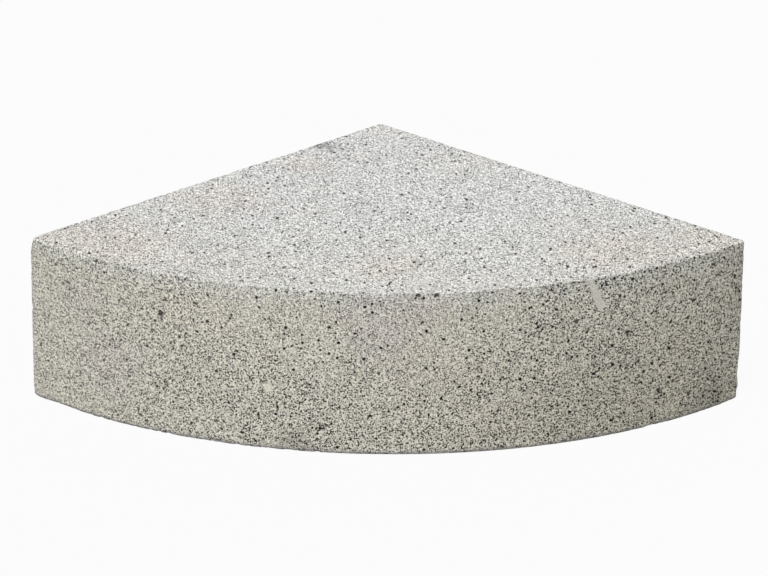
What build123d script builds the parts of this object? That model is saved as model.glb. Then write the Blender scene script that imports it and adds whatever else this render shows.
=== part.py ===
"""Quadrant kerb stone: one quarter round of pressed concrete that turns a line of kerbs through a right angle.

The stone is a single casting. In plan it is a sector of a circle: two straight joint faces run out from a square
back corner, and a round face joins their far ends. It lies on its bed, with its flat top up. Every arris is
slightly rounded, as the mould and handling leave it.

The origin is the middle of the stone's bounding box, on the bed. +Z is up, and the round face looks towards -Y.
Lengths are in millimetres and angles in degrees.
"""

import os
from math import cos, radians, sin

from build123d import *

PLAN_RADIUS = 450.0  # from the back corner, square, to the round face
PLAN_ANGLE = 90.0  # between the two joint faces
DEPTH = 150.0  # from the bed to the top

TOP_ARRIS_RADIUS = 3.0  # round the top
BED_ARRIS_RADIUS = 3.0  # round the bed
BACK_CORNER_RADIUS = 4.0  # upright arris where the joint faces meet
END_ARRIS_RADIUS = 5.0  # upright arrises where the joint faces meet the round face

NODE_NAME = "quadrant_kerb"


def plan_outline():
    """The sector, with its sharp back corner at the origin and the middle of its arc on -Y."""
    half_angle = radians(PLAN_ANGLE / 2)
    end_x = PLAN_RADIUS * sin(half_angle)
    end_y = -PLAN_RADIUS * cos(half_angle)
    with BuildSketch() as plan:
        with BuildLine():
            Line((0, 0), (-end_x, end_y))
            ThreePointArc((-end_x, end_y), (0, -PLAN_RADIUS), (end_x, end_y))
            Line((end_x, end_y), (0, 0))
        make_face()
    return plan.sketch


def round_upright_arrises(outline):
    """Rounds the plan's three corners: the back one, and the two at the ends of the arc."""
    ends = outline.vertices().sort_by(Axis.Y)[:2]
    outline = fillet(ends, END_ARRIS_RADIUS)
    back = outline.vertices().sort_by_distance((0, 0))[:1]
    return fillet(back, BACK_CORNER_RADIUS)


def cast_stone():
    """The plan raised to the stone's depth, with its top and bed arrises rounded."""
    stone = extrude(round_upright_arrises(plan_outline()), DEPTH)
    stone = fillet(stone.faces().sort_by(Axis.Z)[-1].edges(), TOP_ARRIS_RADIUS)
    return fillet(stone.faces().sort_by(Axis.Z)[0].edges(), BED_ARRIS_RADIUS)


def centred_on_bed(stone):
    """The stone moved so that the origin is the middle of its bounding box, on the bed."""
    box = stone.bounding_box()
    return Pos(-box.center().X, -box.center().Y, -box.min.Z) * stone


def main():
    stone = centred_on_bed(cast_stone())
    os.makedirs("parts", exist_ok=True)
    export_step(stone, os.path.join("parts", NODE_NAME + ".step"))


main()
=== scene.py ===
from collections import namedtuple
from math import cos, pi, radians, sin

import bpy
from bpy.props import FloatProperty, FloatVectorProperty, IntProperty, PointerProperty
from mathutils import Matrix, Vector


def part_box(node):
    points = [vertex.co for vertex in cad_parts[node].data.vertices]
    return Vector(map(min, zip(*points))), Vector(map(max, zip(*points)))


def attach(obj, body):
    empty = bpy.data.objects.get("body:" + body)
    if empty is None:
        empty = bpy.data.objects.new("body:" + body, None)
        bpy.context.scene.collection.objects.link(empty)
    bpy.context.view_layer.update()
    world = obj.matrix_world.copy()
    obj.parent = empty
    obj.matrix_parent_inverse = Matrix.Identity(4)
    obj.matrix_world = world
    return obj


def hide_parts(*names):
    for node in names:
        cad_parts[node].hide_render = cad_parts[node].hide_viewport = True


bl_info = {
    "name": "Quadrant Kerb Stone",
    "version": (1, 0, 0),
    "blender": (4, 5, 0),
    "location": "3D View > Sidebar > Kerb",
    "description": "Casts a weathered quadrant kerb stone of pressed concrete on a plain studio floor",
    "category": "Add Mesh",
}

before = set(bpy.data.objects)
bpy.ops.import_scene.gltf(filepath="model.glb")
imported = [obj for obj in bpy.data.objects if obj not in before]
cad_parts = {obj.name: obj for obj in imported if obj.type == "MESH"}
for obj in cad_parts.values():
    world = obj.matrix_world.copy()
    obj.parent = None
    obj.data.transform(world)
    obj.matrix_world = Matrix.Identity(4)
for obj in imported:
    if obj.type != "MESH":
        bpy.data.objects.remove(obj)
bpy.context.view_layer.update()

NODE = "quadrant_kerb"
BODY = "root"

MM = 0.001
LOW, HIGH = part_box(NODE)
SQUARE = pi / 2  # between the two joint faces
BAKE_MAP = "OFBake"  # the stone's own texture map
ARRIS_GAP = "arris_gap"  # attribute: how far each point is from the nearest arris
BELOW_TOP = "below_top"  # attribute: how far down from the top arris, below 0 on the top
LEAN_STARTS = (2, 16)  # bearings between which the lean of the round face sets in
LEAN_ENDS = (52, 35)  # and between which it fades out again
LEAN_REACH = (0.30, 0.45)  # distances from the back corner between which it sets in
TOP_FRONT = (0.24, 0.45)  # distances from there between which the front tint of the top sets in
ROW_CROWDING = 0.7  # how closely the rows crowd at an arris, from 0 to 1
MAP_MARGIN = 0.004  # bare strip beside each part of the texture map, which is 1 wide
LARGEST_PORE = 0.17  # radius of the largest pore of the relief, as a share of the spacing
PIT_REACH = 1.3  # how far the hollow of a dark pit reaches
PIT_DEPTH = 0.45  # and how deep it is, both as shares of the mark's radius

# Places in x. What each pair stands for begins at the first and is full at the second.
CRISP_STARTS = (-0.12, 0.04)  # crisp arrises, coming from the left
CRISP_ENDS = (0.31, 0.30)  # and coming from the right end
# The upright faces' tint, partly their own warmer colour and partly painted shade, reaches further over the
# top arris towards the right.
SIDE_SHADE_CLIMBS = (-0.10, 0.15)  # the tone of the upright faces reaching over the top arris
LEFT_END = (-0.10, -0.29)  # the tint of the left end, and the fainter painted shade of its pores, where the key light falls head-on
RIGHT_END = (0.24, 0.31)  # the painted shade of the right end, which faces away from the key lamp
EDGE_BROADENS = (-0.285, -0.300)  # the broader strip of painted shade and fainter pores beside the upright arris
FOOT_DARKENS = (0.0, 0.2)  # the painted shade at the foot on the right

# A mark on the round face. The bearing is in degrees from the middle of the face, positive to the right.
FaceMark = namedtuple("FaceMark", "bearing height radius")
# A mark on the top, at a place in plan.
TopMark = namedtuple("TopMark", "x y radius")
# Wear on an arris of the round face: how far it reaches and how much radius it adds.
WornArris = namedtuple("WornArris", "bearing height reach extra")

WORN_ARRISES = (
    WornArris(-45.0, 0.150, 0.014, 0.0040),
    WornArris(-39.0, 0.150, 0.028, 0.0035),
    WornArris(-45.0, 0.0, 0.016, 0.0020),
    WornArris(-40.0, 0.0, 0.035, 0.0030),
    WornArris(45.0, 0.025, 0.010, 0.0035),
    WornArris(45.0, 0.037, 0.006, 0.0020),
    WornArris(45.0, 0.0, 0.010, 0.0020),
)

DARK_PITS = (
    FaceMark(-26.3, 0.113, 0.0027),
    FaceMark(27.6, 0.0946, 0.0030),
    FaceMark(32.1, 0.0327, 0.0027),
    FaceMark(36.5, 0.0221, 0.0022),
    FaceMark(21.0, 0.1129, 0.0020),
    FaceMark(29.0, 0.0655, 0.0018),
    FaceMark(33.9, 0.0376, 0.0018),
    FaceMark(2.8, 0.1485, 0.0018),
    FaceMark(4.8, 0.1475, 0.0020),
    FaceMark(-34.7, 0.1485, 0.0018),
)
PALE_PEBBLES = (
    FaceMark(-13.6, 0.0576, 0.0042),
)
PALE_PATCHES = (
    TopMark(0.012, 0.160, 0.011),
    TopMark(0.066, 0.106, 0.009),
    TopMark(-0.063, 0.142, 0.009),
)
WARM_PATCHES = (
    TopMark(-0.151, 0.009, 0.045),
    TopMark(-0.071, 0.107, 0.022),
    TopMark(0.0, -0.156, 0.030),
    TopMark(0.204, -0.115, 0.050),
    TopMark(0.277, -0.089, 0.035),
    TopMark(-0.255, -0.100, 0.060),
)
SMUDGES = (
    TopMark(-0.0535, 0.1570, 0.013),
)
LILAC_PATCHES = (
    FaceMark(-37.0, 0.108, 0.020),
    FaceMark(-33.0, 0.055, 0.030),
    FaceMark(-1.7, 0.141, 0.014),
    FaceMark(-5.7, 0.132, 0.010),
    FaceMark(3.3, 0.129, 0.014),
    FaceMark(-1.0, 0.112, 0.026),
)
DUSTY_PATCHES = (
    FaceMark(-17.0, 0.130, 0.028),
    FaceMark(-8.0, 0.120, 0.038),
    FaceMark(3.0, 0.120, 0.050),
    FaceMark(12.0, 0.135, 0.030),
)
# Darker spots at the foot, drawn with the painted shade along the bed.
FOOT_DARK_SPOTS = (
    FaceMark(-11.0, 0.006, 0.016),
    FaceMark(40.0, 0.006, 0.022),
)
SMEAR = (  # its start and its end, each with half its width
    FaceMark(22.6, 0.148, 0.005),
    FaceMark(24.0, 0.124, 0.005),
)

# Where each finish of the concrete shows, from 0 to 1. Some of them are painted shade: over the upright
# faces, at the foot, along the bed and the upright arrises, and under the top arris.
Masks = namedtuple("Masks", (
    "sides side_tone arris_line left_end edge foot foot_line front smear pitted sooty bloom pebble warm "
    "dusty lilac"))
PITTED_OPENNESS = 0.35  # how much larger the pores of a pitted spot are
SOOTY_OPENNESS = 0.38  # and those of the smudge
BLOOM_OPENNESS = 0.15  # how much smaller they are where paste has bloomed
DUSTY_OPENNESS = 0.29  # and in the dusty patches

# How far a finish covers the concrete's own colour, from 0 to 1.
# The pits' cover is painted shade in their hollows.
PIT_SHADE_COVER = 0.85
PEBBLE_COVER = 0.8
SOOT_COVER = 0.18
BLOOM_COVER = 0.15
SMEAR_COVER = 0.8
FOOT_DARK_SPOT_COVER = 0.6


class Graph:
    """A node tree written as formulas: each call adds one node and gives back what comes out of it."""

    def __init__(self, tree):
        self.tree = tree

    def feed(self, socket, value):
        if isinstance(value, bpy.types.NodeSocket):
            self.tree.links.new(value, socket)
        else:
            socket.default_value = value

    def add(self, kind, wires=(), **settings):
        """A node of this kind with its settings, and with wires or values on the sockets named."""
        node = self.tree.nodes.new(kind)
        for name, value in settings.items():
            setattr(node, name, value)
        for name, value in dict(wires).items():
            self.feed(node.inputs[name], value)
        return node

    def math(self, operation, *values, clamp=False):
        wires = enumerate(values)
        return self.add("ShaderNodeMath", wires, operation=operation, use_clamp=clamp).outputs[0]

    def chain(self, operation, values):
        """One node for each value after the first, which joins it to the result so far."""
        result, *others = values
        for value in others:
            result = self.math(operation, result, value)
        return result

    def plus(self, *values):
        return self.chain("ADD", values)

    def times(self, *values):
        return self.chain("MULTIPLY", values)

    def least(self, *values):
        return self.chain("MINIMUM", values)

    def most(self, *values):
        return self.chain("MAXIMUM", values)

    def minus(self, value, other):
        return self.math("SUBTRACT", value, other)

    def over(self, value, other, clamp=False):
        return self.math("DIVIDE", value, other, clamp=clamp)

    def vector(self, operation, *values):
        node = self.add("ShaderNodeVectorMath", enumerate(values), operation=operation)
        return node.outputs["Value" if operation in ("LENGTH", "DISTANCE", "DOT_PRODUCT") else "Vector"]

    def scaled(self, vector, scale):
        return self.add("ShaderNodeVectorMath", {0: vector, "Scale": scale}, operation="SCALE").outputs[0]

    def combined(self, x, y, z=0.0):
        return self.add("ShaderNodeCombineXYZ", enumerate((x, y, z))).outputs[0]

    def separated(self, vector):
        return self.add("ShaderNodeSeparateXYZ", {0: vector}).outputs

    def smooth_step(self, value, start, end, low=0.0, high=1.0):
        """Rises from low to high with an S curve as value goes from start to end."""
        wires = {"Value": value, "From Min": start, "From Max": end, "To Min": low, "To Max": high}
        return self.add("ShaderNodeMapRange", wires, interpolation_type="SMOOTHSTEP").outputs[0]

    def noise(self, vector, scale, detail=2.0, roughness=0.5):
        return self.add("ShaderNodeTexNoise", {
            "Vector": vector, "Scale": scale, "Detail": detail, "Roughness": roughness}).outputs

    def cells(self, vector, scale):
        return self.add("ShaderNodeTexVoronoi", {"Vector": vector, "Scale": scale}).outputs

    def use(self, group, wires):
        kind = "ShaderNodeGroup" if self.tree.bl_idname == "ShaderNodeTree" else "GeometryNodeGroup"
        return self.add(kind, wires, node_tree=group).outputs

    def passed(self, *names):
        """This group's own inputs of these names, to hand on to a node inside it."""
        return {name: self.given[name] for name in names}


def new_group(name, kind, inputs, outputs):
    """An empty node group. Its inputs and outputs are given by name, each with its type."""
    tree = bpy.data.node_groups.new(name, kind)
    for in_out, sockets in (("INPUT", inputs), ("OUTPUT", outputs)):
        for label, socket in sockets.items():
            tree.interface.new_socket(name=label, in_out=in_out, socket_type="NodeSocket" + socket)
    graph = Graph(tree)
    graph.given = tree.nodes.new("NodeGroupInput").outputs
    graph.result = tree.nodes.new("NodeGroupOutput").inputs
    return graph


# The stone's shape, made by Geometry Nodes.


def crowded_rows_group():
    """Moves evenly spaced rows, numbered 0 to 1, closer together at both ends, where the arrises are."""
    g = new_group("Rows Crowded at Ends", "GeometryNodeTree", {
        "Row": "Float", "Reach": "Float", "Crowding": "Float"}, {"Row": "Float"})
    row, reach, crowding = g.given["Row"], g.given["Reach"], g.given["Crowding"]
    start = g.math("EXPONENT", g.over(g.times(row, -1.0), reach))
    finish = g.math("EXPONENT", g.over(g.minus(row, 1.0), reach))
    whole = g.math("EXPONENT", g.over(-1.0, reach))
    held = g.times(reach, crowding)
    drawn_in = g.plus(g.minus(g.minus(1.0, start), whole), finish)
    place = g.minus(row, g.times(held, drawn_in))
    length = g.minus(1.0, g.times(held, 2.0, g.minus(1.0, whole)))
    g.feed(g.result["Row"], g.over(place, length))
    return g.tree


def quarter_disc_group():
    """Takes a square from 0 to 1 to a quarter of a disc with as much area in each cell.

    Two sides of the square become the joint faces and the other two the round face.
    """
    g = new_group("Square to Quarter Disc", "GeometryNodeTree", {
        "Across": "Float", "Along": "Float", "Radius": "Float"}, {"Left": "Float", "Right": "Float"})
    across, along = g.given["Across"], g.given["Along"]
    far = g.most(across, along)
    share = g.over(g.least(across, along), far)
    turn = g.times(share, SQUARE / 2)
    past_middle = g.math("GREATER_THAN", along, across)
    rest = g.minus(SQUARE, g.times(turn, 2.0))
    angle = g.plus(turn, g.times(past_middle, rest))
    radius = g.times(far, g.given["Radius"])
    g.feed(g.result["Left"], g.times(radius, g.math("COSINE", angle)))
    g.feed(g.result["Right"], g.times(radius, g.math("SINE", angle)))
    return g.tree


def arris_gap_group():
    """How far a point of the sharp stone is from the nearest arris, and how far over the top arris.

    Below Top is the distance down an upright face from the top arris. On the top it is below 0.
    """
    g = new_group("Arris Gap", "GeometryNodeTree", {
        "Place": "Vector", "Plan Radius": "Float", "Depth": "Float"},
        {"Gap": "Float", "Below Top": "Float"})
    left, right, height = g.separated(g.given["Place"])
    out = g.minus(g.given["Plan Radius"], g.vector("LENGTH", g.combined(left, right)))
    below = g.minus(g.given["Depth"], height)
    inset = g.least(left, right, out)
    level_gap = g.most(g.least(height, below), inset)
    upright_gap = g.least(g.most(left, right), g.most(left, out), g.most(right, out))
    g.feed(g.result["Gap"], g.least(level_gap, upright_gap))
    g.feed(g.result["Below Top"], g.minus(below, inset))
    return g.tree


def rounded_arris_group():
    """Rounds the sharp stone's arrises: the upright ones in plan, then those round the top and the bed.

    Both radii may change from place to place. The upright one is the larger.
    """
    g = new_group("Rounded Arrises", "GeometryNodeTree", {
        "Place": "Vector", "Plan Radius": "Float", "Depth": "Float", "Level Radius": "Float",
        "Upright Radius": "Float"}, {"Place": "Vector"})
    place, level, upright = g.given["Place"], g.given["Level Radius"], g.given["Upright Radius"]
    left, right, height = g.separated(place)
    core = g.combined(g.most(left, upright), g.most(right, upright))
    room = g.minus(g.given["Plan Radius"], upright)
    core = g.scaled(core, g.least(1.0, g.over(room, g.vector("LENGTH", core))))
    out = g.vector("SUBTRACT", g.combined(left, right), core)
    reach = g.least(g.vector("LENGTH", out), g.minus(upright, level))
    core = g.vector("ADD", core, g.scaled(g.vector("NORMALIZE", out), reach))
    height = g.most(level, g.least(height, g.minus(g.given["Depth"], level)))
    core = g.vector("ADD", core, g.combined(0.0, 0.0, height))
    outwards = g.vector("NORMALIZE", g.vector("SUBTRACT", place, core))
    g.feed(g.result["Place"], g.vector("ADD", core, g.scaled(outwards, level)))
    return g.tree


def in_stone_frame_group():
    """Turns a place measured along the two joint faces from the back corner into the stone's own frame."""
    g = new_group("Stone Frame", "GeometryNodeTree", {
        "Place": "Vector", "Back Corner": "Float"}, {"Position": "Vector"})
    left, right, height = g.separated(g.given["Place"])
    slope = sin(SQUARE / 2)
    x = g.times(g.minus(right, left), slope)
    forward = g.times(g.plus(right, left), slope)
    g.feed(g.result["Position"], g.combined(x, g.minus(g.given["Back Corner"], forward), height))
    return g.tree


def lean_group():
    """Leans the right half of the round face back a little at its top. The foot stays where it is."""
    g = new_group("Lean", "GeometryNodeTree", {
        "Position": "Vector", "Back Corner": "Float", "Depth": "Float", "Lean": "Float"},
        {"Position": "Vector"})
    position = g.given["Position"]
    x, y, height = g.separated(position)
    forward = g.minus(g.given["Back Corner"], y)
    bearing = g.math("ARCTAN2", x, forward)
    rise = g.math("POWER", g.over(height, g.given["Depth"]), 2.0)
    near_face = g.smooth_step(g.vector("LENGTH", g.combined(x, forward)), *LEAN_REACH)
    starts = g.smooth_step(bearing, *map(radians, LEAN_STARTS))
    ends = g.smooth_step(bearing, *map(radians, LEAN_ENDS))
    share = g.times(starts, ends, g.times(near_face, rise))
    back = g.vector("NORMALIZE", g.combined(g.times(x, -1.0), forward))
    push = g.scaled(back, g.times(share, g.given["Lean"]))
    g.feed(g.result["Position"], g.vector("ADD", position, push))
    return g.tree


def worn_spot_group():
    """1 at a centre, falling to 0 at its reach, with a ragged edge."""
    g = new_group("Worn Spot", "GeometryNodeTree", {
        "Position": "Vector", "Centre": "Vector", "Reach": "Float"}, {"Wear": "Float"})
    reach = g.given["Reach"]
    wobble = g.noise(g.given["Position"], 140.0)["Fac"]
    away = g.vector("DISTANCE", g.given["Position"], g.given["Centre"])
    ragged = g.times(away, g.plus(0.6, g.times(wobble, 0.8)))
    g.feed(g.result["Wear"], g.smooth_step(ragged, reach, 0.0))
    return g.tree


def arris_wear_group(sizes):
    """The radius that wear has given the arris near each point: a base, a waver, small nicks and chips.

    The right half of the stone has kept its arrises crisp, except at the very end.
    """
    g = new_group("Arris Wear", "GeometryNodeTree", {
        "Position": "Vector", "Shift": "Vector", "Arris Radius": "Float", "Raggedness": "Float",
        "Chip Size": "Float"}, {"Radius": "Float"})
    position = g.given["Position"]
    x = g.separated(position)[0]
    crisp = g.times(g.smooth_step(x, *CRISP_STARTS), g.smooth_step(x, *CRISP_ENDS))
    ragged = g.times(g.given["Raggedness"], g.smooth_step(crisp, 0.0, 1.0, low=1.0, high=0.15))
    shifted = g.vector("ADD", position, g.given["Shift"])
    waver = g.times(g.noise(shifted, 45.0)["Fac"], 0.3)
    nicks = g.smooth_step(g.noise(shifted, 230.0, detail=3.0)["Fac"], 0.47, 0.68)
    chips = g.smooth_step(g.noise(shifted, 42.0, detail=3.0, roughness=0.6)["Fac"], 0.60, 0.72)
    radius = g.plus(g.given["Arris Radius"], g.times(g.plus(waver, nicks), ragged),
                    g.times(chips, g.given["Chip Size"]))
    spot = worn_spot_group()
    for worn in WORN_ARRISES:
        wear = g.use(spot, {
            "Position": position, "Centre": on_round_face(sizes, worn), "Reach": worn.reach})[0]
        radius = g.plus(radius, g.times(wear, worn.extra))
    g.feed(g.result["Radius"], radius)
    return g.tree


def surface_relief_group(sizes):
    """How far the weathered surface lies below the mould's: slow hollows, grit, pores and larger pits."""
    g = new_group("Surface Relief", "GeometryNodeTree", {
        "Position": "Vector", "Shift": "Vector", "Hollows": "Float", "Grit": "Float",
        "Pore Depth": "Float"}, {"Depth": "Float"})
    position = g.given["Position"]
    shifted = g.vector("ADD", position, g.given["Shift"])
    hollows = g.times(g.noise(shifted, 9.0)["Fac"], g.given["Hollows"])
    grit = g.times(g.noise(shifted, 170.0, detail=1.0)["Fac"], g.given["Grit"])
    pores = g.cells(shifted, 48.0)
    size = g.times(g.separated(pores["Color"])[0], LARGEST_PORE)
    open_pore = g.smooth_step(pores["Distance"], size, g.times(size, 0.3))
    depth = g.plus(hollows, grit, g.times(open_pore, g.given["Pore Depth"]))
    spot = worn_spot_group()
    for mark in DARK_PITS:
        wear = g.use(spot, {
            "Position": position, "Centre": on_round_face(sizes, mark),
            "Reach": mark.radius * PIT_REACH})[0]
        depth = g.plus(depth, g.times(wear, mark.radius * PIT_DEPTH))
    g.feed(g.result["Depth"], depth)
    return g.tree


def texture_map_group():
    """Lays the six sides out flat in one square, packed with little waste.

    The round face is a strip along the foot of the square and the joint faces are a strip above it. The top
    and the bed are quarter discs in opposite corners of what is left.
    """
    g = new_group("Texture Layout", "GeometryNodeTree", {
        "Side": "Vector", "Place": "Vector", "Plan Radius": "Float", "Depth": "Float",
        "Margin": "Float"}, {"Map": "Vector"})
    left, right, height = g.separated(g.given["Place"])
    side_x, side_y, side_z = g.separated(g.given["Side"])
    radius, depth, margin = g.given["Plan Radius"], g.given["Depth"], g.given["Margin"]
    two_margins = g.times(margin, 2.0)

    arc = g.times(radius, SQUARE)
    round_scale = g.over(g.minus(1.0, two_margins), arc)
    bearing = g.math("ARCTAN2", right, left)
    round_x = g.plus(margin, g.times(g.times(bearing, radius), round_scale))
    round_y = g.plus(margin, g.times(height, round_scale))
    round_top = g.plus(two_margins, g.times(depth, round_scale))

    width = g.over(g.minus(1.0, g.times(margin, 3.0)), 2.0)
    joint_scale = g.over(width, radius)
    left_x = g.plus(margin, g.times(left, joint_scale))
    right_x = g.plus(two_margins, width, g.times(g.minus(radius, right), joint_scale))
    joint_y = g.plus(round_top, g.times(height, joint_scale))
    joint_top = g.plus(round_top, margin, g.times(depth, joint_scale))

    top_size = g.minus(g.minus(1.0, margin), joint_top)
    top_scale = g.over(top_size, radius)
    top_x = g.plus(margin, g.times(left, top_scale))
    top_y = g.plus(joint_top, g.times(right, top_scale))

    across = g.vector("LENGTH", g.combined(g.minus(1.0, two_margins), top_size))
    bed_size = g.minus(g.minus(across, top_size), two_margins)
    bed_scale = g.over(bed_size, radius)
    far_edge = g.minus(1.0, margin)
    bed_x = g.minus(far_edge, g.times(right, bed_scale))
    bed_y = g.minus(far_edge, g.times(left, bed_scale))

    on_round = g.math("GREATER_THAN", g.plus(side_x, side_y), 0.5)
    on_left = g.math("LESS_THAN", side_y, -0.5)
    on_right = g.math("LESS_THAN", side_x, -0.5)
    on_top = g.math("GREATER_THAN", side_z, 0.5)
    on_bed = g.math("LESS_THAN", side_z, -0.5)
    layout = g.scaled(g.combined(round_x, round_y), on_round)
    for x, y, chosen in ((left_x, joint_y, on_left), (right_x, joint_y, on_right),
                         (top_x, top_y, on_top), (bed_x, bed_y, on_bed)):
        layout = g.vector("ADD", layout, g.scaled(g.combined(x, y), chosen))
    g.feed(g.result["Map"], layout)
    return g.tree


def captured(g, geometry, domain, label, value):
    """The geometry with a value held on it as it is now, and that value."""
    node = g.tree.nodes.new("GeometryNodeCaptureAttribute")
    node.domain = domain
    node.capture_items.new("VECTOR", label)
    g.feed(node.inputs["Geometry"], geometry)
    g.feed(node.inputs[label], value)
    return node.outputs["Geometry"], node.outputs[label]


def stored(g, geometry, domain, kind, name, value):
    """The geometry with the value stored under a name that the material can read."""
    wires = {"Geometry": geometry, "Name": name, "Value": value}
    return g.add("GeometryNodeStoreNamedAttribute", wires, data_type=kind, domain=domain).outputs[0]


def bent_block(g, sizes):
    """A block of rows bent to the quadrant's plan, still with sharp arrises.

    With it come the side of the block that each face belongs to, and the place of each point. A place is
    measured along the two joint faces from the back corner.
    """
    given = g.given
    across = g.plus(given["Rows Across"], 1.0)
    up = g.plus(given["Rows Up"], 1.0)
    block = g.add("GeometryNodeMeshCube", {
        "Vertices X": across, "Vertices Y": across, "Vertices Z": up}).outputs["Mesh"]
    facing = g.add("GeometryNodeInputNormal").outputs[0]
    block, side = captured(g, block, "FACE", "Side", facing)
    rows = crowded_rows_group()

    def crowded(row, count):
        reach = g.over(sizes.edge_rows, count)
        return g.use(rows, {"Row": row, "Reach": reach, "Crowding": ROW_CROWDING})[0]

    here = g.add("GeometryNodeInputPosition").outputs[0]
    x, y, z = g.separated(g.vector("ADD", here, (0.5, 0.5, 0.5)))
    plan = g.use(quarter_disc_group(), {
        "Across": crowded(x, given["Rows Across"]), "Along": crowded(y, given["Rows Across"]),
        "Radius": given["Plan Radius"]})
    height = g.times(crowded(z, given["Rows Up"]), given["Depth"])
    sharp = g.combined(plan["Left"], plan["Right"], height)
    block, sharp = captured(g, block, "POINT", "Sharp Place", sharp)
    return block, side, sharp


def worn_place(g, sizes, sharp, shift):
    """Where each point lies in the stone's frame once the arrises are worn and the round face leans."""
    to_frame = in_stone_frame_group()
    position = g.use(to_frame, {"Place": sharp, **g.passed("Back Corner")})[0]
    radius = g.use(arris_wear_group(sizes), {
        "Position": position, "Shift": shift, **g.passed("Arris Radius", "Raggedness", "Chip Size")})[0]
    rounded = g.use(rounded_arris_group(), {
        "Place": sharp, "Level Radius": radius, "Upright Radius": g.plus(radius, g.given["Upright Extra"]),
        **g.passed("Plan Radius", "Depth")})[0]
    rounded = g.use(to_frame, {"Place": rounded, **g.passed("Back Corner")})[0]
    return g.use(lean_group(), {"Position": rounded, **g.passed("Back Corner", "Depth", "Lean")})[0]


def kerb_stone_tree(sizes):
    """The whole stone: a block bent to the quadrant's plan, its arrises worn and its faces weathered."""
    g = new_group("Quadrant Kerb Stone", "GeometryNodeTree", {
        "Plan Radius": "Float", "Depth": "Float", "Back Corner": "Float", "Rows Across": "Int",
        "Rows Up": "Int", "Arris Radius": "Float", "Upright Extra": "Float", "Raggedness": "Float",
        "Chip Size": "Float", "Lean": "Float", "Hollows": "Float", "Grit": "Float",
        "Pore Depth": "Float", "Seed": "Int", "Material": "Material"}, {"Geometry": "Geometry"})
    block, side, sharp = bent_block(g, sizes)
    shift = g.scaled(g.combined(1.7, 0.9, 1.3), g.given["Seed"])
    place = worn_place(g, sizes, sharp, shift)
    stone = g.add("GeometryNodeSetPosition", {"Geometry": block, "Position": place}).outputs[0]

    here = g.add("GeometryNodeInputPosition").outputs[0]
    facing = g.add("GeometryNodeInputNormal").outputs[0]
    relief = g.use(surface_relief_group(sizes), {
        "Position": here, "Shift": shift, **g.passed("Hollows", "Grit", "Pore Depth")})[0]
    sunk = g.scaled(facing, g.times(relief, -1.0))
    stone = g.add("GeometryNodeSetPosition", {"Geometry": stone, "Offset": sunk}).outputs[0]

    outline = g.passed("Plan Radius", "Depth")
    gap = g.use(arris_gap_group(), {"Place": sharp, **outline})
    layout = g.use(texture_map_group(), {
        "Side": side, "Place": sharp, "Margin": MAP_MARGIN, **outline})[0]
    stone = stored(g, stone, "POINT", "FLOAT", ARRIS_GAP, gap["Gap"])
    stone = stored(g, stone, "POINT", "FLOAT", BELOW_TOP, gap["Below Top"])
    stone = stored(g, stone, "CORNER", "FLOAT2", BAKE_MAP, layout)
    stone = g.add("GeometryNodeSetShadeSmooth", {0: stone}).outputs[0]
    stone = g.add("GeometryNodeRealizeInstances", {0: stone}).outputs[0]
    stone = g.add("GeometryNodeSetMaterial", {"Geometry": stone, **g.passed("Material")}).outputs[0]
    g.feed(g.result["Geometry"], stone)
    return g.tree


def set_inputs(modifier, values):
    """Sets a Geometry Nodes modifier's inputs, found by name, through their identifiers."""
    for item in modifier.node_group.interface.items_tree:
        if item.in_out == "INPUT" and item.name in values:
            modifier[item.identifier] = values[item.name]


def plain_mesh(name, tree, values):
    """An object whose mesh is what the tree makes from these values, with no modifier left on it."""
    source = bpy.data.objects.new(name + "_source", bpy.data.meshes.new(name + "_source"))
    bpy.context.collection.objects.link(source)
    modifier = source.modifiers.new("Shape", "NODES")
    modifier.node_group = tree
    set_inputs(modifier, values)
    evaluated = source.evaluated_get(bpy.context.evaluated_depsgraph_get())
    mesh = bpy.data.meshes.new_from_object(evaluated)
    mesh.name = name
    drop_empty_slots(mesh)
    bpy.data.objects.remove(source)
    piece = bpy.data.objects.new(name, mesh)
    bpy.context.collection.objects.link(piece)
    return piece


def drop_empty_slots(mesh):
    """Leaves the mesh its one real material, on all its faces."""
    material = next(m for m in mesh.materials if m)
    mesh.materials.clear()
    mesh.materials.append(material)
    mesh.polygons.foreach_set("material_index", [0] * len(mesh.polygons))


def back_corner_y(sizes):
    """Where the sharp back corner would be: a plan radius behind the middle of the round face."""
    return LOW.y + sizes.plan_radius


def s_curve(value, start, end):
    """Rises from 0 to 1 with an S curve as value goes from start to end."""
    share = min(max((value - start) / (end - start), 0.0), 1.0)
    return share * share * (3.0 - 2.0 * share)


def lean_back(sizes, mark):
    """How far the lean of the round face takes a mark towards the back corner."""
    on_right = s_curve(mark.bearing, *LEAN_STARTS) * s_curve(mark.bearing, *LEAN_ENDS)
    return sizes.lean * on_right * (mark.height / sizes.depth) ** 2


def on_round_face(sizes, mark):
    """The middle of a mark on the round face."""
    angle = radians(mark.bearing)
    radius = sizes.plan_radius - lean_back(sizes, mark)
    return Vector((radius * sin(angle), back_corner_y(sizes) - radius * cos(angle), mark.height))


def on_top(sizes, mark):
    """The middle of a mark on the top."""
    return Vector((mark.x, mark.y, sizes.depth))


# The concrete's colour and grain.


def uneven_place(g, vector, size, unevenness):
    """The place moved about by a noise, so that what is drawn there has an uneven outline."""
    wobble = g.noise(vector, g.over(1.6, size), detail=1.0)["Color"]
    push = g.scaled(g.vector("SUBTRACT", wobble, (0.5, 0.5, 0.5)), g.times(size, unevenness))
    return g.vector("ADD", vector, push)


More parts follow.
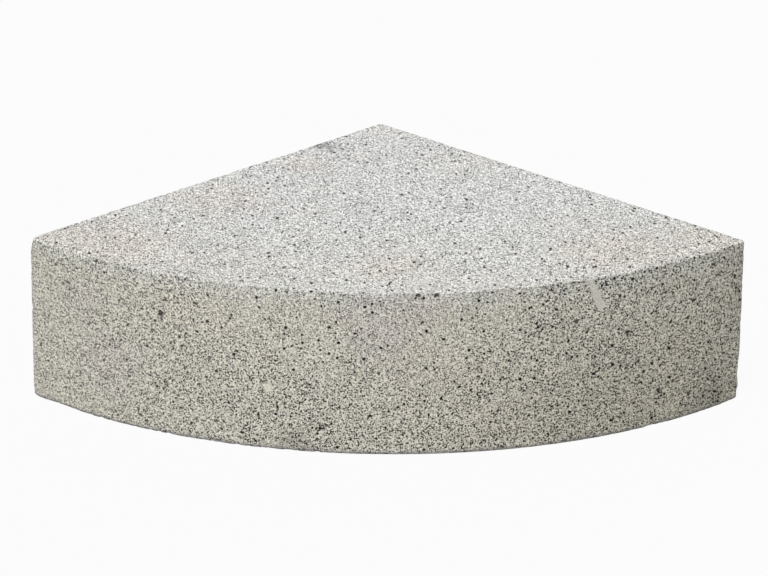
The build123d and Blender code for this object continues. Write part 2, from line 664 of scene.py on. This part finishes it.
def grains_group():
    """Packed grains of one size.

    Tone is a random number for each grain. Facet is the height of each grain's broken face, which leans its
    own way.
    """
    g = new_group("Grains", "ShaderNodeTree", {
        "Vector": "Vector", "Grain Size": "Float", "Unevenness": "Float"},
        {"Tone": "Float", "Facet": "Float"})
    size = g.given["Grain Size"]
    place = uneven_place(g, g.given["Vector"], size, g.given["Unevenness"])
    cells = g.cells(place, g.over(1.0, size))
    lean = g.scaled(g.vector("SUBTRACT", cells["Color"], (0.5, 0.5, 0.5)), 2.0)
    g.feed(g.result["Tone"], g.separated(cells["Color"])[0])
    g.feed(g.result["Facet"], g.vector("DOT_PRODUCT", g.vector("SUBTRACT", place, cells["Position"]), lean))
    return g.tree


def specks_group():
    """Small specks that stand apart from each other, each with a rim round it.

    Size is the radius of a speck as a share of the spacing between them, and Variety is how much it varies.
    """
    g = new_group("Specks", "ShaderNodeTree", {
        "Vector": "Vector", "Spacing": "Float", "Size": "Float", "Variety": "Float",
        "Unevenness": "Float"}, {"Speck": "Float", "Rim": "Float", "Tone": "Float"})
    spacing = g.given["Spacing"]
    place = uneven_place(g, g.given["Vector"], spacing, g.given["Unevenness"])
    cells = g.cells(place, g.over(1.0, spacing))
    own_size, tone, _ = g.separated(cells["Color"])
    change = g.times(g.minus(own_size, 0.5), g.given["Variety"])
    radius = g.times(g.given["Size"], g.plus(1.0, change))
    speck = g.smooth_step(cells["Distance"], radius, g.times(radius, 0.85))
    near = g.smooth_step(cells["Distance"], g.times(radius, 2.0), g.times(radius, 1.2))
    g.feed(g.result["Speck"], speck)
    g.feed(g.result["Rim"], g.minus(near, speck))
    g.feed(g.result["Tone"], tone)
    return g.tree


def spot_group():
    """A mask of 1 inside a spot and 0 outside, with a soft edge made ragged by a wobble from 0 to 1."""
    g = new_group("Spot", "ShaderNodeTree", {
        "Vector": "Vector", "Centre": "Vector", "Radius": "Float", "Softness": "Float",
        "Raggedness": "Float", "Wobble": "Float"}, {"Mask": "Float"})
    push = g.times(g.minus(g.given["Wobble"], 0.5), g.times(g.given["Raggedness"], 2.0))
    away = g.vector("DISTANCE", g.given["Vector"], g.given["Centre"])
    away = g.plus(g.over(away, g.given["Radius"]), push)
    inner = g.minus(1.0, g.given["Softness"])
    outer = g.plus(1.0, g.given["Softness"])
    g.feed(g.result["Mask"], g.smooth_step(away, outer, inner))
    return g.tree


def streak_group():
    """A mask of 1 along a smear that widens from start to end, with an edge made ragged by a wobble."""
    g = new_group("Streak", "ShaderNodeTree", {
        "Vector": "Vector", "Start": "Vector", "End": "Vector", "Half Width": "Float",
        "Wobble": "Float"}, {"Mask": "Float"})
    run = g.vector("SUBTRACT", g.given["End"], g.given["Start"])
    offset = g.vector("SUBTRACT", g.given["Vector"], g.given["Start"])
    share = g.over(g.vector("DOT_PRODUCT", offset, run), g.vector("DOT_PRODUCT", run, run), clamp=True)
    away = g.vector("LENGTH", g.vector("SUBTRACT", offset, g.scaled(run, share)))
    away = g.times(away, g.plus(0.4, g.times(g.given["Wobble"], 1.2)))
    width = g.times(g.given["Half Width"], g.plus(0.7, g.times(share, 0.3)))
    g.feed(g.result["Mask"], g.smooth_step(away, width, g.times(width, 0.7)))
    return g.tree


def painted(g, colour, share, paint, blend="MIX"):
    """The colour with a share of a paint over it, or multiplied into it."""
    node = g.add("ShaderNodeMix", data_type="RGBA", blend_type=blend)
    sockets = {s.identifier: s for s in node.inputs}
    g.feed(sockets["Factor_Float"], share)
    g.feed(sockets["A_Color"], colour)
    g.feed(sockets["B_Color"], (*paint, 1.0))
    return next(s for s in node.outputs if s.identifier == "Result_Color")


def ramp(g, value, stops):
    """A colour ramp through the stops, each a position and a colour."""
    node = g.add("ShaderNodeValToRGB", {"Fac": value})
    elements = node.color_ramp.elements
    while len(elements) < len(stops):
        elements.new(1.0)
    for element, (position, colour) in zip(elements, stops):
        element.position = position
        element.color = (*colour, 1.0)
    return node.outputs["Color"]


def concrete_material(sizes, colours):
    """Pressed concrete with a granite aggregate: speckled, open-pored, lightly stained and matte, with
    painted shade in its hollows, over its upright faces and along its foot and arrises.
    """
    material = bpy.data.materials.new("weathered_concrete")
    material.use_nodes = True
    material.node_tree.nodes.clear()
    g = Graph(material.node_tree)
    place = g.add("ShaderNodeTexCoord").outputs["Object"]
    masks = finish_masks(g, place, sizes)
    sand, speck, colour = speckled_paste(g, place, masks, colours)
    colour = stained(g, place, masks, colours, colour)
    relief = fine_relief(g, sand, speck, masks, colours)
    bump = g.add("ShaderNodeBump", {"Strength": 1.0, "Distance": 1.0, "Height": relief}).outputs["Normal"]
    roughness = g.smooth_step(sand["Tone"], 0.0, 1.0, low=0.95, high=0.78)
    surface = g.add("ShaderNodeBsdfPrincipled", {
        "Base Color": colour, "Roughness": roughness, "Normal": bump, "Specular IOR Level": 0.3})
    g.add("ShaderNodeOutputMaterial", {"Surface": surface.outputs[0]})
    return material


def attribute(g, name):
    """What the stone's tree has stored under this name."""
    return g.add("ShaderNodeAttribute", attribute_name=name, attribute_type="GEOMETRY").outputs["Fac"]


def side_mask(g, x, below, wobble):
    """1 on the upright faces and 0 on the top, changing raggedly over the top arris."""
    ragged = g.plus(below, g.times(g.minus(wobble, 0.5), 4 * MM))
    # On the right the mask is full from 1 mm over the top arris, so that the painted shade of the upright
    # faces begins over the arris there.
    full = g.smooth_step(x, *SIDE_SHADE_CLIMBS, low=0.1 * MM, high=-1.0 * MM)
    return g.smooth_step(ragged, -3.0 * MM, full)


def foot_shade_mask(g, x, height):
    """1 at the foot on the right, fading upwards and to the left, and at least half at the right end. It is
    painted shade: contact shade at the foot, and the shade of the right end, which faces away from the key
    lamp.
    """
    low_right = g.times(g.smooth_step(x, *FOOT_DARKENS, low=0.2), g.smooth_step(height, 0.20, -0.06))
    return g.most(low_right, g.smooth_step(x, *RIGHT_END, high=0.5))


def front_mask(g, place, sizes):
    """1 at the round face, fading towards the back corner."""
    from_back = g.vector("SUBTRACT", place, (0.0, back_corner_y(sizes), 0.0))
    out = g.vector("LENGTH", g.vector("MULTIPLY", from_back, (1.0, 1.0, 0.0)))
    return g.smooth_step(out, *TOP_FRONT)


def smear_mask(g, place, sizes, wobble):
    """1 along the smear of paste that runs down the round face."""
    start, end = (on_round_face(sizes, mark) for mark in SMEAR)
    return g.use(streak_group(), {
        "Vector": place, "Start": start, "End": end, "Half Width": SMEAR[0].radius, "Wobble": wobble})[0]


def finish_masks(g, place, sizes):
    """Where each finish of the concrete shows, from 0 to 1, and where painted shade lies."""
    broad = g.noise(place, 45.0, detail=3.0)["Fac"]
    close = g.noise(place, 260.0, detail=2.0)["Fac"]
    spot = spot_group()

    def spots(marks, wobble, softness, raggedness):
        centre = on_round_face if isinstance(marks[0], FaceMark) else on_top
        shared = {"Vector": place, "Wobble": wobble, "Softness": softness, "Raggedness": raggedness}
        return g.most(*(
            g.use(spot, {"Centre": centre(sizes, mark), "Radius": mark.radius, **shared})[0]
            for mark in marks))

    x, _, height = g.separated(place)
    gap, below = attribute(g, ARRIS_GAP), attribute(g, BELOW_TOP)
    sides = side_mask(g, x, below, close)
    on_top_only = g.minus(1.0, sides)
    down = g.smooth_step(below, 15 * MM, 30 * MM)
    # The band of painted shade along the bed and the upright arrises, where they round away from the light,
    # is broader at the left upright arris.
    edge_width = g.smooth_step(x, *EDGE_BROADENS, low=6 * MM, high=11 * MM)
    # Painted shade of the small nicks under the top arris, in patches.
    arris_line = g.times(g.smooth_step(below, 3.5 * MM, 1.5 * MM), g.smooth_step(broad, 0.35, 0.55))
    # Painted shade along the bed, where the rounded arris turns down to the floor, with darker spots at the
    # foot.
    foot_dark_spots = g.times(spots(FOOT_DARK_SPOTS, close, softness=0.5, raggedness=1.0), FOOT_DARK_SPOT_COVER)
    foot_line = g.most(g.smooth_step(height, 4.0 * MM, 1.5 * MM), foot_dark_spots)
    return Masks(
        sides=sides,
        side_tone=g.times(sides, g.smooth_step(below, 0.0, 22 * MM, low=0.55)),
        arris_line=g.times(sides, arris_line),
        left_end=g.times(sides, g.smooth_step(x, *LEFT_END)),
        edge=g.times(down, g.smooth_step(gap, edge_width, 1 * MM)),
        foot=g.times(sides, foot_shade_mask(g, x, height)),
        foot_line=g.times(down, foot_line),
        front=g.times(front_mask(g, place, sizes), on_top_only),
        smear=smear_mask(g, place, sizes, close),
        pitted=spots(DARK_PITS, close, softness=0.4, raggedness=1.2),
        sooty=g.times(spots(SMUDGES, close, softness=0.6, raggedness=0.8), on_top_only),
        bloom=spots(PALE_PATCHES, close, softness=0.6, raggedness=1.0),
        pebble=spots(PALE_PEBBLES, close, softness=0.2, raggedness=0.5),
        warm=g.times(spots(WARM_PATCHES, broad, softness=0.6, raggedness=0.8), on_top_only),
        dusty=spots(DUSTY_PATCHES, broad, softness=0.7, raggedness=0.8),
        lilac=spots(LILAC_PATCHES, broad, softness=0.7, raggedness=1.0))


def openness(g, masks, colours):
    """How large the pores are beside those of the top. On the upright faces the larger, and so darker,
    pores are partly painted shade.
    """
    return g.plus(
        1.0, g.times(masks.sides, colours.side_openness_and_shade - 1.0), g.times(masks.pitted, PITTED_OPENNESS),
        g.times(masks.sooty, SOOTY_OPENNESS), g.times(masks.bloom, -BLOOM_OPENNESS),
        g.times(masks.dusty, -DUSTY_OPENNESS))


def speckled_paste(g, place, masks, colours):
    """Sand grains, dark pores between them with pale paste at their rims, and a few larger holes. The dark
    of the holes and pits is painted shade in those hollows, and the dark specks are partly dark aggregate
    and partly painted shade in open pores.
    """
    lying = g.vector("MULTIPLY", place, (1.0, 1.0 / colours.grain_length, 1.0))
    sand = g.use(grains_group(), {"Vector": lying, "Grain Size": colours.sand_size, "Unevenness": 0.4})
    specks = specks_group()
    pores = g.use(specks, {
        "Vector": lying, "Spacing": colours.pore_spacing,
        "Size": g.times(openness(g, masks, colours), colours.pore_size), "Variety": 0.9,
        "Unevenness": 0.6})
    holes = g.use(specks, {
        "Vector": lying, "Spacing": colours.hole_spacing, "Size": colours.hole_size, "Variety": 0.5,
        "Unevenness": 0.2})
    chips = g.use(specks, {
        "Vector": lying, "Spacing": colours.chip_spacing, "Size": colours.chip_size, "Variety": 0.9,
        "Unevenness": 0.4})

    matrix, dark, pale = colours.matrix, colours.dark_grain_and_pore_shade, colours.pale_grain
    colour = ramp(g, sand["Tone"], (
        (0.0, shade(matrix, 1.0 - colours.sand_contrast)), (0.5, matrix),
        (1.0, shade(matrix, 1.0 + colours.sand_contrast))))
    # Painted light: the pores' painted shade fades at the left end, where the key light falls on the round
    # face head-on, and in the band of painted shade along the bed and the upright arrises.
    pores_unfaded = g.minus(1.0, g.plus(g.times(masks.left_end, colours.left_end_pore_fade),
                                g.times(masks.edge, colours.edge_pore_fade)))
    darkness = g.smooth_step(pores["Tone"], 0.0, 1.0, low=1.0, high=colours.faintest_pore)
    speck = g.times(pores["Speck"], g.times(darkness, pores_unfaded))
    hole = g.times(holes["Speck"], pores_unfaded)
    # Painted shade: the holes and pits are painted dark for the shade in their hollows, and the pores
    # partly so, partly as dark aggregate.
    for share, paint in (
            (g.times(pores["Rim"], colours.rim_strength), pale), (speck, dark), (chips["Speck"], pale),
            (hole, dark), (g.times(masks.pitted, PIT_SHADE_COVER), dark)):
        colour = painted(g, colour, share, paint)
    return sand, g.most(speck, hole), colour


def stained(g, place, masks, colours, colour):
    """The concrete's colour with its patches, its pebble and its smear, and with painted shade over the
    upright faces, at the foot, along the bed and the upright arrises, and under the top arris.
    """
    warmth, _, dirt = g.separated(g.noise(place, 11.0, detail=3.0)["Color"])
    warmth = g.smooth_step(warmth, 0.45, 0.75, high=0.5)
    dirt = g.smooth_step(dirt, 0.5, 0.8, high=0.35)
    colour = painted(g, colour, g.times(masks.pebble, PEBBLE_COVER), colours.pale_grain)
    # The tints of the upright faces, of the foot, of the band beside the bed and the upright arrises, of
    # the line along the bed and of the line under the top arris are painted shade; the upright faces' tint
    # is also their own warmer colour.
    for share, tint in (
            (g.most(warmth, masks.warm), colours.warm_stain), (dirt, colours.grey_stain),
            (masks.side_tone, colours.side_tint_and_shade), (masks.lilac, colours.lilac_stain),
            (masks.left_end, colours.left_stain), (masks.front, colours.front_stain),
            (masks.foot, colours.foot_shade_tint), (masks.edge, colours.edge_shade),
            (masks.foot_line, colours.foot_line), (masks.arris_line, colours.arris_line)):
        colour = painted(g, colour, share, tint, "MULTIPLY")
    colour = painted(g, colour, g.times(masks.sooty, SOOT_COVER), colours.dark_grain_and_pore_shade)
    colour = painted(g, colour, g.times(masks.bloom, BLOOM_COVER), colours.pale_grain)
    return painted(g, colour, g.times(masks.smear, SMEAR_COVER), colours.smear)


def fine_relief(g, sand, speck, masks, colours):
    """The height of the grains' leaning faces above the pores, flattened under the smear."""
    facets = g.times(sand["Facet"], colours.facet_lean)
    sunk = g.times(speck, -colours.pore_relief)
    flat = g.minus(1.0, g.times(masks.smear, SMEAR_COVER))
    return g.times(g.plus(facets, sunk), flat)


def shade(colour, factor):
    """A lighter or darker shade of a colour."""
    return tuple(min(channel * factor, 1.0) for channel in colour)


# What a user can change.


def a_number(name, description, default):
    return FloatProperty(name=name, description=description, default=default)


def a_length(name, description, default):
    return FloatProperty(name=name, description=description, default=default, unit="LENGTH")


def an_angle(name, description, degrees):
    return FloatProperty(name=name, description=description, default=radians(degrees), unit="ROTATION")


def a_colour(name, description, default):
    return FloatVectorProperty(name=name, description=description, default=default, subtype="COLOR")


class KerbSizes(bpy.types.PropertyGroup):
    """The sizes of the stone and of its wear."""

    plan_radius: a_length("Plan Radius", "From the back corner to the round face", 0.450)
    depth: a_length("Depth", "From the bed to the top", HIGH.z - LOW.z)
    rows_across: IntProperty(
        name="Rows Across", description="Rows of faces along each joint face", default=170)
    rows_up: IntProperty(name="Rows Up", description="Rows of faces from bed to top", default=56)
    edge_rows: a_number("Edge Rows", "How many rows from an arris the closer spacing reaches", 5.0)
    arris_radius: a_length("Arris Radius", "Radius of an arris where it is least worn", 0.0009)
    upright_extra: a_length("Upright Extra", "How much rounder the upright arrises are", 0.0035)
    raggedness: a_length("Raggedness", "How much the arris wavers and how deep its nicks are", 0.0028)
    chip_size: a_length("Chip Size", "Radius that a chip adds to the arris", 0.003)
    lean: a_length("Lean", "How far the round face leans back at its top, on the right", 0.0028)
    hollows: a_length("Hollows", "Depth of the slow unevenness of the faces", 0.0003)
    grit: a_length("Grit", "Depth of the relief between coarse grains", 0.0003)
    pore_depth: a_length("Pore Depth", "Depth of the open pores", 0.0016)
    seed: IntProperty(name="Seed", description="Picks another pattern of wear", default=1)


class ConcreteColours(bpy.types.PropertyGroup):
    """The colours and grain of the concrete."""

    matrix: a_colour("Matrix", "Cement and sand", (0.67, 0.665, 0.64))
    # Partly dark aggregate and soot, partly painted shade: the near black of the open pores, blowholes and
    # pits stands in for the shade in those hollows.
    dark_grain_and_pore_shade: a_colour("Dark Grain", "Dark aggregate and open pores", (0.008, 0.008, 0.007))
    pale_grain: a_colour("Pale Grain", "White and pale grey aggregate", (0.92, 0.92, 0.90))
    warm_stain: a_colour("Warm Stain", "Tint of the warm patches", (1.0, 0.963, 0.938))
    left_stain: a_colour("Left Stain", "Tint of the left end of the round face", (0.96, 0.96, 0.955))
    lilac_stain: a_colour("Lilac Stain", "Tint of the lilac patches on the round face", (0.98, 0.96, 1.0))
    front_stain: a_colour("Front Stain", "Tint of the top towards the round face", (0.965, 0.955, 0.93))
    # Painted shade: contact shade low on the upright faces and the shade of the right end, which faces away
    # from the key lamp.
    foot_shade_tint: a_colour("Foot Stain", "Tint of the upright faces towards the bed", (0.82, 0.81, 0.77))
    # Painted shade: the dark line where the bed arris rounds under towards the floor, with darker spots at
    # the foot.
    foot_line: a_colour("Foot Line", "Tint of the line of dirt along the bed", (0.61, 0.61, 0.60))
    # Painted shade: the shade in the small nicks under the top arris.
    arris_line: a_colour("Arris Line", "Tint of the dirt caught under the top arris", (0.83, 0.82, 0.81))
    # Painted shade: the lilac grey band where the bed and the upright arrises round away from the light.
    edge_shade: a_colour("Edge Stain", "Tint beside the bed and the upright arrises", (0.90, 0.895, 0.98))
    grey_stain: a_colour("Grey Stain", "Tint of the grey patches", (0.93, 0.93, 0.97))
    # Partly the upright faces' own warmer colour, partly painted shade: they are darker and warmer than the
    # top because of how the light falls on them.
    side_tint_and_shade: a_colour("Side Tint", "Tint of the upright faces", (0.97, 0.94, 0.84))
    smear: a_colour("Smear", "The smear of cement paste on the round face", (0.69, 0.67, 0.59))
    sand_size: a_length("Sand Size", "Size of the grains", 0.0010)
    grain_length: a_number("Grain Length", "How much longer than wide grains lie, from front to back", 1.7)
    sand_contrast: a_number("Sand Contrast", "How much lighter and darker than the matrix grains are", 0.8)
    pore_spacing: a_length("Pore Spacing", "From one dark pore to the next", 0.0016)
    pore_size: a_number("Pore Size", "Radius of a pore as a share of the spacing", 0.365)
    # Partly the upright faces' more open texture, partly painted shade: their pores are drawn larger, and
    # so darker, for the shade that light grazing down the faces leaves in them.
    side_openness_and_shade: a_number("Side Openness", "How much larger the pores of the upright faces are", 1.18)
    # Painted light: the pores' painted shade is fainter at the left end, where the key light falls on the
    # round face head-on.
    left_end_pore_fade: a_number("Left End Dust", "How far dust fills the pores at the left end", 0.24)
    # The pores fade in the same band of painted shade.
    edge_pore_fade: a_number(
        "Edge Dust", "How far dust fills the pores beside the bed and the upright arrises", 0.35)
    hole_spacing: a_length("Hole Spacing", "From one blowhole to the next", 0.0075)
    hole_size: a_number("Hole Size", "Radius of a blowhole as a share of the spacing", 0.17)
    chip_spacing: a_length("Chip Spacing", "From one white chip of aggregate to the next", 0.0045)
    chip_size: a_number("Chip Size", "Radius of a white chip as a share of the spacing", 0.20)
    faintest_pore: a_number("Faintest Pore", "How dark the faintest pore is, from 0 to 1", 0.95)
    rim_strength: a_number("Rim Strength", "How much paler the paste round a pore is", 0.6)
    pore_relief: a_length("Pore Relief", "Depth of the small pores in the shading", 0.0001)
    facet_lean: a_number("Facet Lean", "How steeply the broken faces of grains lean, as a slope", 0.15)


class StudioSettings(bpy.types.PropertyGroup):
    """The camera, the lamps and the floor."""

    target: FloatVectorProperty(
        name="Target", description="The point the camera looks at", default=(-0.0010, 0.0008, 0.0675),
        subtype="TRANSLATION")
    distance: a_length("Distance", "From the camera to the target", 3.487)
    elevation: an_angle("Elevation", "How far the camera looks down", 21.33)
    swing: an_angle("Swing", "How far the camera stands to the right of the middle", -1.56)
    roll: an_angle("Roll", "How far the camera is tipped", 0.80)
    lens: a_number("Lens", "Focal length in millimetres", 178.7)
    sky: a_number("Sky", "Light from all round", 0.40)
    key: a_number("Key", "Light from the front left, above", 0.75)
    fill: a_number("Fill", "Light from behind", 0.12)
    floor_colour: a_colour("Floor Colour", "Plain pale floor", (0.50, 0.50, 0.50))
    floor_glow: a_number("Floor Glow", "Share of the floor that the camera sees as plain white", 0.94)


# The pieces.


def by_name(settings):
    """Each setting under the name that a user sees. The inputs of the stone's tree have these names."""
    labels = settings.bl_rna.properties
    return {labels[key].name: getattr(settings, key) for key in settings.__annotations__}


class KERB_OT_cast_stone(bpy.types.Operator):
    """Casts the kerb stone, worn and weathered, in place of the plain one"""

    bl_idname = "kerb.cast_stone"
    bl_label = "Cast Stone"

    def execute(self, context):
        sizes, colours = context.scene.kerb_sizes, context.scene.kerb_colours
        stone = plain_mesh("kerb_stone", kerb_stone_tree(sizes), {
            **by_name(sizes),
            "Back Corner": back_corner_y(sizes),
            "Material": concrete_material(sizes, colours),
        })
        if not stone.data.polygons:
            raise RuntimeError("the stone came out empty")
        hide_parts(NODE)
        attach(stone, BODY)
        return {"FINISHED"}


class KERB_OT_set_stage(bpy.types.Operator):
    """Lays the floor, hangs the lamps and stands the camera at the photograph's angle"""

    bl_idname = "kerb.set_stage"
    bl_label = "Set Stage"

    def execute(self, context):
        studio = context.scene.kerb_studio
        lay_floor(studio)
        light_world(context.scene, studio)
        hang_lamp("key", studio.key, bearing=-31.0, elevation=56.5, softness=22.0)
        hang_lamp("fill", studio.fill, bearing=160.0, elevation=35.0, softness=60.0)
        stand_camera(context.scene, studio)
        context.scene.view_settings.view_transform = "Standard"
        return {"FINISHED"}


def lay_floor(studio):
    """A wide plain floor that takes the stone's shadow and looks nearly white to the camera."""
    reach = 40.0
    mesh = bpy.data.meshes.new("floor")
    corners = [(-reach, -reach, 0), (reach, -reach, 0), (reach, reach, 0), (-reach, reach, 0)]
    mesh.from_pydata([(x, y, LOW.z + z) for x, y, z in corners], [], [(0, 1, 2, 3)])
    floor = bpy.data.objects.new("floor", mesh)
    bpy.context.collection.objects.link(floor)
    material = bpy.data.materials.new("studio_floor")
    material.use_nodes = True
    material.node_tree.nodes.clear()
    g = Graph(material.node_tree)
    paint = g.add("ShaderNodeBsdfDiffuse", {"Color": (*studio.floor_colour, 1.0)}).outputs[0]
    glow = g.add("ShaderNodeEmission", {"Color": (1, 1, 1, 1), "Strength": 1.0}).outputs[0]
    path = g.add("ShaderNodeLightPath").outputs
    seen = g.most(path["Is Camera Ray"], path["Is Glossy Ray"])
    share = g.times(seen, studio.floor_glow)
    both = g.add("ShaderNodeMixShader", {0: share, 1: paint, 2: glow}).outputs[0]
    g.add("ShaderNodeOutputMaterial", {"Surface": both})
    mesh.materials.append(material)


def light_world(scene, studio):
    """Even light from all round, which the camera and reflections see as white."""
    world = bpy.data.worlds.new("studio")
    world.use_nodes = True
    world.node_tree.nodes.clear()
    g = Graph(world.node_tree)
    path = g.add("ShaderNodeLightPath").outputs
    seen = g.most(path["Is Camera Ray"], path["Is Glossy Ray"], path["Is Transmission Ray"])
    strength = g.plus(studio.sky, g.times(seen, 1.0 - studio.sky))
    light = g.add("ShaderNodeBackground", {"Color": (1, 1, 1, 1), "Strength": strength}).outputs[0]
    g.add("ShaderNodeOutputWorld", {"Surface": light})
    scene.world = world


def towards(bearing, elevation):
    """A unit vector to a place round the stone: bearing 0 is the front, -Y, and positive to the right."""
    a, e = radians(bearing), radians(elevation)
    return Vector((sin(a) * cos(e), -cos(a) * cos(e), sin(e)))


def hang_lamp(name, strength, bearing, elevation, softness):
    """A large soft lamp far away, which lights a facing white surface to its strength."""
    lamp = bpy.data.lights.new(name, "SUN")
    lamp.energy = strength * pi
    lamp.angle = radians(softness)
    holder = bpy.data.objects.new(name, lamp)
    holder.rotation_mode = "QUATERNION"
    holder.rotation_quaternion = towards(bearing, elevation).to_track_quat("Z", "Y")
    bpy.context.collection.objects.link(holder)


def stand_camera(scene, studio):
    """The camera at the photograph's angle, with its long lens."""
    back = Vector((sin(studio.swing) * cos(studio.elevation), -cos(studio.swing) * cos(studio.elevation),
                   sin(studio.elevation)))
    right = Vector((cos(studio.swing), sin(studio.swing), 0.0))
    upright = Matrix((right, back.cross(right), back)).transposed()
    tipped = upright @ Matrix.Rotation(studio.roll, 3, "Z")
    data = bpy.data.cameras.new("camera")
    data.lens = studio.lens
    data.sensor_width = 36.0
    camera = bpy.data.objects.new("camera", data)
    place = Vector(studio.target) + back * studio.distance
    camera.matrix_world = Matrix.Translation(place) @ tipped.to_4x4()
    scene.collection.objects.link(camera)
    scene.camera = camera


class KERB_PT_panel(bpy.types.Panel):
    """Lists what can be made and changed"""

    bl_idname = "KERB_PT_panel"
    bl_label = "Quadrant Kerb Stone"
    bl_space_type = "VIEW_3D"
    bl_region_type = "UI"
    bl_category = "Kerb"

    def draw(self, context):
        layout = self.layout
        for settings in (context.scene.kerb_sizes, context.scene.kerb_colours, context.scene.kerb_studio):
            box = layout.box()
            for name in settings.__annotations__:
                box.prop(settings, name)
        for operator in (KERB_OT_cast_stone, KERB_OT_set_stage):
            layout.operator(operator.bl_idname)


CLASSES = (KerbSizes, ConcreteColours, StudioSettings, KERB_OT_cast_stone, KERB_OT_set_stage, KERB_PT_panel)


def register():
    for cls in CLASSES:
        bpy.utils.register_class(cls)
    bpy.types.Scene.kerb_sizes = PointerProperty(type=KerbSizes)
    bpy.types.Scene.kerb_colours = PointerProperty(type=ConcreteColours)
    bpy.types.Scene.kerb_studio = PointerProperty(type=StudioSettings)


def unregister():
    for name in ("kerb_sizes", "kerb_colours", "kerb_studio"):
        delattr(bpy.types.Scene, name)
    for cls in reversed(CLASSES):
        bpy.utils.unregister_class(cls)


def main():
    register()
    bpy.ops.kerb.cast_stone()
    bpy.ops.kerb.set_stage()


if __name__ == "__main__":
    main()
